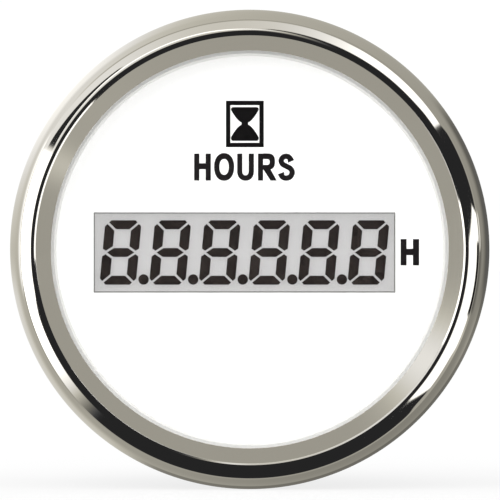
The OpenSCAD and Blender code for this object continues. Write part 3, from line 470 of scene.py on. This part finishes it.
# The bevel shows as a pale grey line round the dial: its grey base is painted shade, standing for
# the shadow of the bezel's lip on the white plastic, and its glow is painted light that lifts that
# shade.
ring_painted_shade_and_glow = grained("satin_white_abs_painted_shade_and_glow", "#c4c4c1", "#cccbc8", 0.5, (0.4, 0.52), 0.004, IOR=1.54,
                     Emission_Color=linear("#fbfbf8"), Emission_Strength=0.2)
dress(ring_painted_shade_and_glow, "dial_ring")


# Lens and its gasket
# A flat disc of acrylic, pressed against a thin rubber ring under the lip of the bezel.

# Cast acrylic is clear, and only its gloss shows.
lens_clear = see_through("clear_acrylic", "#fefefe", 1.49, 0.0)
dress(lens_clear, "lens")
thinned("lens")
# Rubber sheet is a dull black with a fine dusty grain.
rubber = grained("black_rubber_sheet", "#141414", "#232323", 0.35, (0.62, 0.8), 0.012, IOR=1.52)
dress(rubber, "lens_gasket")


# Bezel
# Stainless sheet pressed to a round bead with a flat inner cone, rolled over behind the flange of
# the housing and polished on a wheel.
BEZEL_R, SHEET, BEAD_R, OPENING_R = 31.0, 0.8, 3.1, 25.65
CREST_Z, CONE_Z, LIP_Z, CONE_SLOPE = 10.212, 8.819, 7.8, 35
ROLL_Z, FLANGE_Z, ROLL_R = 1.5, 2.3, 26.9
CREASE_R, LAND_R, FOOT_R = 27.58, 27.794, 26.7
CREASE_Z = CONE_Z + (CREASE_R - OPENING_R) * np.tan(np.radians(CONE_SLOPE))
UNDER_R, UNDER_Z = CREASE_R + 0.16, CREST_Z - SHEET
ROLL_ROUND = SHEET * 0.99
BEZEL_TURNS, WHEEL_MARK = 320, 0.25


def rounded(corners, radii, steps):
    """Outline through corners with each one rounded: an arc of its radius touches both sides, with
    a guard point just outside either end of the arc, which keeps the flats between arcs flat when
    they are shaded smooth."""
    guard = 0.01
    line = []
    before, after = np.roll(corners, 1, 0), np.roll(corners, -1, 0)
    for here, back, ahead, radius, count in zip(corners, before, after, radii, steps):
        a = (back - here) / np.linalg.norm(back - here)
        b = (ahead - here) / np.linalg.norm(ahead - here)
        half = np.arccos(np.clip(a @ b, -1, 1)) / 2
        reach = radius / np.tan(half)
        middle = here + (a + b) / np.linalg.norm(a + b) * radius / np.sin(half)
        t = np.linspace(0, 1, count)[:, None]
        one, two = here + a * reach - middle, here + b * reach - middle
        sweep = np.pi - 2 * half
        arc = (np.sin((1 - t) * sweep) * one + np.sin(t * sweep) * two) / np.sin(sweep) + middle
        line += [here + a * (reach + guard), *arc, here + b * (reach + guard)]
    return np.array(line)


# Each corner of the section: radius from the axis, height, rounding, points on the rounding.
section = np.array([
    [OPENING_R, LIP_Z, 0.08, 4],
    [OPENING_R, CONE_Z, 0.09, 8],
    [CREASE_R, CREASE_Z, 0.06, 6],
    [LAND_R, CREST_Z, 0.2, 6],
    [BEZEL_R, CREST_Z, BEAD_R, 64],
    [BEZEL_R, ROLL_Z, ROLL_ROUND, 16],
    [ROLL_R, ROLL_Z, 0.2, 6],
    [ROLL_R, FLANGE_Z, 0.2, 6],
    [BEZEL_R - SHEET, FLANGE_Z, 0.08, 4],
    [BEZEL_R - SHEET, UNDER_Z, BEAD_R - SHEET, 24],
    [UNDER_R, UNDER_Z, 0.1, 4],
    [FOOT_R, LIP_Z, 0.1, 4]])
bezel_line = rounded(section[:, :2], section[:, 2], section[:, 3].astype(int))
angle = np.arange(BEZEL_TURNS) * 2 * np.pi / BEZEL_TURNS
r, y = bezel_line[:, :1], -bezel_line[:, 1:]
bezel_points = np.stack([r * np.sin(angle), y + 0 * angle, r * np.cos(angle)], -1).reshape(-1, 3)

# Polished stainless is a slightly warm mirror, with faint rings from the wheel. They are some
# hundredths of a millimetre apart, and are drawn at 0.25 mm so that they show at all.
steel = bpy.data.materials.new("polished_stainless")
steel.use_nodes = True
tree = steel.node_tree
shader = tree.nodes["Principled BSDF"]
shader.inputs["Base Color"].default_value = linear("#dcd9d2")
shader.inputs["Metallic"].default_value = 1.0
place = add(tree, "TexCoord", {})
level = add(tree, "VectorMath", {0: place.outputs["Object"], 1: (1.0, 0.0, 1.0)},
            operation="MULTIPLY")
out = add(tree, "VectorMath", {0: level.outputs["Vector"]}, operation="LENGTH")
rings = add(tree, "TexNoise", {"W": out.outputs["Value"], "Scale": 1 / (WHEEL_MARK * MM),
                               "Detail": 2.0}, noise_dimensions="1D")
gloss = add(tree, "MapRange", {"Value": rings.outputs["Fac"], "To Min": 0.02, "To Max": 0.06})
tree.links.new(gloss.outputs["Result"], shader.inputs["Roughness"])
bezel = shell("polished_bezel", bezel_points, grid_quads(len(bezel_line), BEZEL_TURNS, True),
              np.zeros((0, 3), int), steel, "meter")
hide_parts("bezel")


# Panel gasket
# A flat ring cut from the same rubber sheet as the lens gasket, laid between the bezel and the
# panel.
dress(rubber, "panel_gasket")


# Clamp bracket, spring washers and thumb nuts
# A steel strip bent to a U and zinc plated, drawn against the back of the panel by two knurled nuts
# of nickel-plated brass over split spring washers.

# The strip is the grey of the studs, with faint rolling lines along its length. They are drawn at
# 0.6 mm, coarser than they are, so that they show.
strip_zinc = grained("zinc_plated_strip", "#a0a5aa", "#c4c8cb", 0.6, (0.26, 0.42), 0.004,
                     stretch=(6, 6, 1), Metallic=1.0)
dress(strip_zinc, "clamp_bracket")
dress(zinc, "spring_washers")
# Nickel over brass is bright, smooth and faintly yellow.
nickel = grained("nickel_plated_brass", "#c3b9a2", "#d9d1bd", 1.2, (0.18, 0.3), 0.002, Metallic=1.0)
dress(nickel, "thumb_nut_left", "thumb_nut_right")


# Studio
# The meter stands on a lit white table under even white light, with a soft key from the upper left
# and a fill from the front. A dome that only mirrors see carries the black card round the camera,
# the white cards beside it and the grey room behind.
FLOOR_Z, FLOOR_HALF, DOME_R, CAMERA_AWAY = -31.0 * MM, 8, 1.0, 0.7277
WHITE = (1.0, 1.0, 1.0, 1.0)


def ramp(value, start, stop):
    """Smooth step from 0 at start to 1 at stop."""
    t = np.clip((value - start) / (stop - start), 0, 1)
    return t * t * (3 - 2 * t)


def hill(value, middle, width):
    """Bell curve: e to the minus square of the distance from the middle over the width."""
    return np.exp(-((value - middle) / width) ** 2)


def sector(azimuth, start, stop, soft):
    """1 between two azimuths in degrees, falling to 0 over soft degrees beyond each."""
    off = np.abs((azimuth - (start + stop) / 2 + 180) % 360 - 180) - (stop - start) / 2
    return 1 - ramp(off, 0, soft)


# All is in degrees: the polar angle counts from the way to the camera, the azimuth from the right
# toward the top. The bead mirrors its own azimuth, from a polar angle of 2 at its crest to 180 at
# its side. The cone mirrors the opposite azimuth at a polar angle of 67.
polar, azimuth = np.meshgrid(np.linspace(0, 180, 361), np.arange(0, 360, 0.75), indexing="ij")

# The grey room is palest at the upper left, where it also glows, most of all toward the rear.
away = np.abs((azimuth - 140 + 180) % 360 - 180)
room = 0.30 + 0.35 * (1 + np.cos(np.radians(away))) / 2
room = room + (0.3 + 0.35 * ramp(polar, 88, 112)) * hill(away, 0, 26)
# Its rear is lighter at the lower left and below, and darker at the right.
shade = 1 + 0.54 * sector(azimuth, 194, 232, 15) + 0.12 * sector(azimuth, 250, 345, 15)
shade = shade + 0.3 * hill(azimuth, 336, 7) - 0.62 * sector(azimuth, 354, 390, 12)
room = room * (1 + (shade - 1) * ramp(polar, 85, 120))
# Its near edge is dark below the right, and its far edge dark along the bottom.
room = room * (1 - 0.5 * sector(azimuth, 345, 361, 2) * (1 - ramp(polar, 72, 88)))
room = room * (1 - 0.45 * sector(azimuth, 250, 345, 10) * ramp(polar, 117, 123))
# The white cards at the left and at the right run out into its near edge.
room = room + 1.0 * sector(azimuth, 155, 186, 8) * (1 - ramp(polar, 66, 85))
room = room + 1.2 * sector(azimuth, 1, 8, 2) * (1 - ramp(polar, 70, 78))

# The collar between cards and room is all that the cone sees: grey, with one bright patch for its
# lower right and weaker ones for its upper left.
collar = 0.44 + 0.634 * hill(azimuth, 147.6, 13.5)
collar = collar + 0.22 * hill(azimuth, 336, 5) + 0.05 * hill(azimuth, 318, 22)

# The white cards: a tongue at the right with slanted ends, and a card at the left that fades
# downward.
slant = np.clip((polar - 22) / 40, 0, 1)
tip = np.minimum(0.26 * polar - 2.4, 10.8 - 0.15 * (polar - 50))
tongue = sector(azimuth, -42.9 + 6.5 * slant, tip, 1)
white = np.maximum(tongue, 1.4 * sector(azimuth, 155, 244, 2.5) * (1 - ramp(azimuth, 203, 229)))

# The pale card over the top, whitest at the upper right, with a bright line along its inner edge
# and a black wedge cut into its left end.
pale = 0.72 + 0.98 * np.exp(-np.clip(azimuth - 60, 0, None) / 11) + 0.3 * ramp(azimuth, 95, 135)
pale = pale * np.maximum(sector(azimuth, 34, 100, 1.2), sector(azimuth, 90, 154, 2.5))
line_mid = np.clip(13.7 + 0.4 * (azimuth - 72), 0, 25.3)
line = 2.0 * ramp(azimuth, 66, 102) * sector(azimuth, 66, 150, 3) * hill(polar, line_mid, 3.5)
wedge_half = 2 + 11 * np.clip((azimuth - 124) / 28, 0, 1) ** 1.5
wedge_mid = 31 + 6 * np.clip((azimuth - 132) / 18, 0, 1) ** 1.8
wedge_off = np.abs(polar - wedge_mid)
wedge = sector(azimuth, 126, 152, 1.5) * (1 - ramp(wedge_off, wedge_half, wedge_half + 1.5))

# The cards lie between two polar angles, start and stop, which shift where their edges do. Inside
# start is the black card, which isn't quite black.
start = 14 + (7.5 + 0.08 * np.clip(azimuth - 48, 0, 40)) * sector(azimuth, 20, 84, 6)
start = start + 2.5 * sector(azimuth, 30, 37, 6) + 9 * sector(azimuth, 198, 230, 8)
stop = 64 - 2.5 * sector(azimuth, 34, 70, 4)
stop = stop - (5.5 - 0.14 * (azimuth - 36)) * sector(azimuth, 34, 64, 4)
stop = stop - 3.5 * sector(azimuth, -43, -17, 3) - 5 * sector(azimuth, -43, -29, 4)
stop = stop - 10 * sector(azimuth, 344, 361, 1.5)
cards = np.maximum(1.7 * white, pale * (1 - wedge)) * ramp(polar, start, start + 3)
cards = 0.025 + np.maximum(cards, line * (1 - wedge))

# Cards, collar and room join in turn. The joint is narrow where the cards are white and the collar
# must not show on the bead, and wide along the top. A black strip lies beyond the tongue.
fine = np.maximum(sector(azimuth, 72, 188, 4), sector(azimuth, 345, 359, 2))
soft = sector(azimuth, 76, 148, 6)
to_collar = ramp(polar, stop + 1.2 * fine - 2.5 * soft, stop + 2 + 0.2 * fine)
to_room = ramp(polar, 70.5 - 2.5 * fine, 72 - 3 * fine + 3 * soft)
light = cards + (collar - cards) * to_collar
light = light + (room - light) * to_room
strip = sector(azimuth, 344, 361, 1.5) * (ramp(polar, 53.8, 55.3) - ramp(polar, 65, 66.4))
light = light * (1 - 0.97 * strip)

# Greys are a little warm, blacks a little cool.
grey, dark = ramp(light, 1.05, 0.6)[..., None], ramp(light, 0.2, 0.05)[..., None]
tint = 1 + grey * (np.array([1.02, 1.0, 0.91]) - 1) + dark * np.array([-0.04, 0.0, 0.18])
colour = np.concatenate([light[..., None] * tint, np.ones_like(light)[..., None]], -1)

p, a = np.radians(polar), np.radians(azimuth)
dome_points = DOME_R * np.stack([np.sin(p) * np.cos(a), -np.cos(p), np.sin(p) * np.sin(a)], -1)
dome_quads = grid_quads(*polar.shape, False)
dome_mesh = bpy.data.meshes.new("mirror_dome")
dome_mesh.from_pydata(dome_points.reshape(-1, 3).tolist(), [], dome_quads.tolist())
room_light = dome_mesh.attributes.new("room_light", "FLOAT_COLOR", "POINT")
room_light.data.foreach_set("color", colour.ravel())
# The cards glow by themselves, as lit paper does.
card_light = bpy.data.materials.new("card_light")
card_light.use_nodes = True
tree = card_light.node_tree
tree.nodes.remove(tree.nodes["Principled BSDF"])
shine = add(tree, "Attribute", {}, attribute_name="room_light")
glow = add(tree, "Emission", {"Color": shine.outputs["Color"]})
tree.links.new(glow.outputs["Emission"], tree.nodes["Material Output"].inputs["Surface"])
dome_mesh.materials.append(card_light)
dome = bpy.data.objects.new("mirror_dome", dome_mesh)
bpy.context.collection.objects.link(dome)
dome.visible_camera = False
dome.visible_diffuse = False
dome.visible_shadow = False
dome.visible_transmission = False

floor_mesh = bpy.data.meshes.new("floor")
floor_corners = FLOOR_HALF * np.array([[-1, -1, 0], [1, -1, 0], [1, 1, 0], [-1, 1, 0]])
floor_mesh.from_pydata((floor_corners + [0, 0, FLOOR_Z]).tolist(), [], [(0, 1, 2, 3)])
# The table is opal acrylic lit from below, an even white on which only a faint shadow is left.
opal = grained("lit_opal_acrylic", "#5f5f5f", "#626262", 20.0, (0.8, 0.9), 0.0,
               Specular_IOR_Level=0.0, Emission_Color=linear("#ffffff"), Emission_Strength=0.80)
floor_mesh.materials.append(opal)
floor = bpy.data.objects.new("floor", floor_mesh)
bpy.context.collection.objects.link(floor)
floor.visible_glossy = False

# Each lamp: name, strength, width in degrees, tilt from straight down, turn about the upright.
lamps = (("soft_key", 0.8, 60, 58, -40), ("front_fill", 1.55, 25, 88, 0))
for name, energy, spread, tilt, turn in lamps:
    lamp = bpy.data.lights.new(name, "SUN")
    lamp.energy = energy
    lamp.angle = np.radians(spread)
    hung = bpy.data.objects.new(name, lamp)
    bpy.context.collection.objects.link(hung)
    hung.rotation_euler = (np.radians(tilt), 0, np.radians(turn))
    hung.visible_glossy = False

# White light comes from all sides, and the ground behind the meter is plain white.
world = bpy.data.worlds.new("white_studio")
bpy.context.scene.world = world
world.use_nodes = True
tree = world.node_tree
path = add(tree, "LightPath", {})
around = tree.nodes["Background"]
around.inputs["Color"].default_value = WHITE
around.inputs["Strength"].default_value = 1.6
behind = add(tree, "Background", {"Color": WHITE, "Strength": 1.02})
seen = add(tree, "MixShader", {0: path.outputs["Is Camera Ray"], 1: around.outputs["Background"],
                               2: behind.outputs["Background"]})
tree.links.new(seen.outputs["Shader"], tree.nodes["World Output"].inputs["Surface"])

# The camera looks along the axis from the front. Its shift only follows the photo's framing.
camera = bpy.data.cameras.new("camera")
camera.lens = 401.2
camera.sensor_width = 36.0
camera.shift_x = 0.0005
camera.shift_y = -0.0012
camera.clip_start = 0.05
camera.clip_end = 50.0
eye = bpy.data.objects.new("camera", camera)
bpy.context.collection.objects.link(eye)
eye.location = (0.0, -CAMERA_AWAY, 0.0)
eye.rotation_euler = (np.pi / 2, 0.0, 0.0)
bpy.context.scene.camera = eye
bpy.context.scene.view_settings.view_transform = "Standard"
bpy.context.scene.cycles.transparent_max_bounces = 32
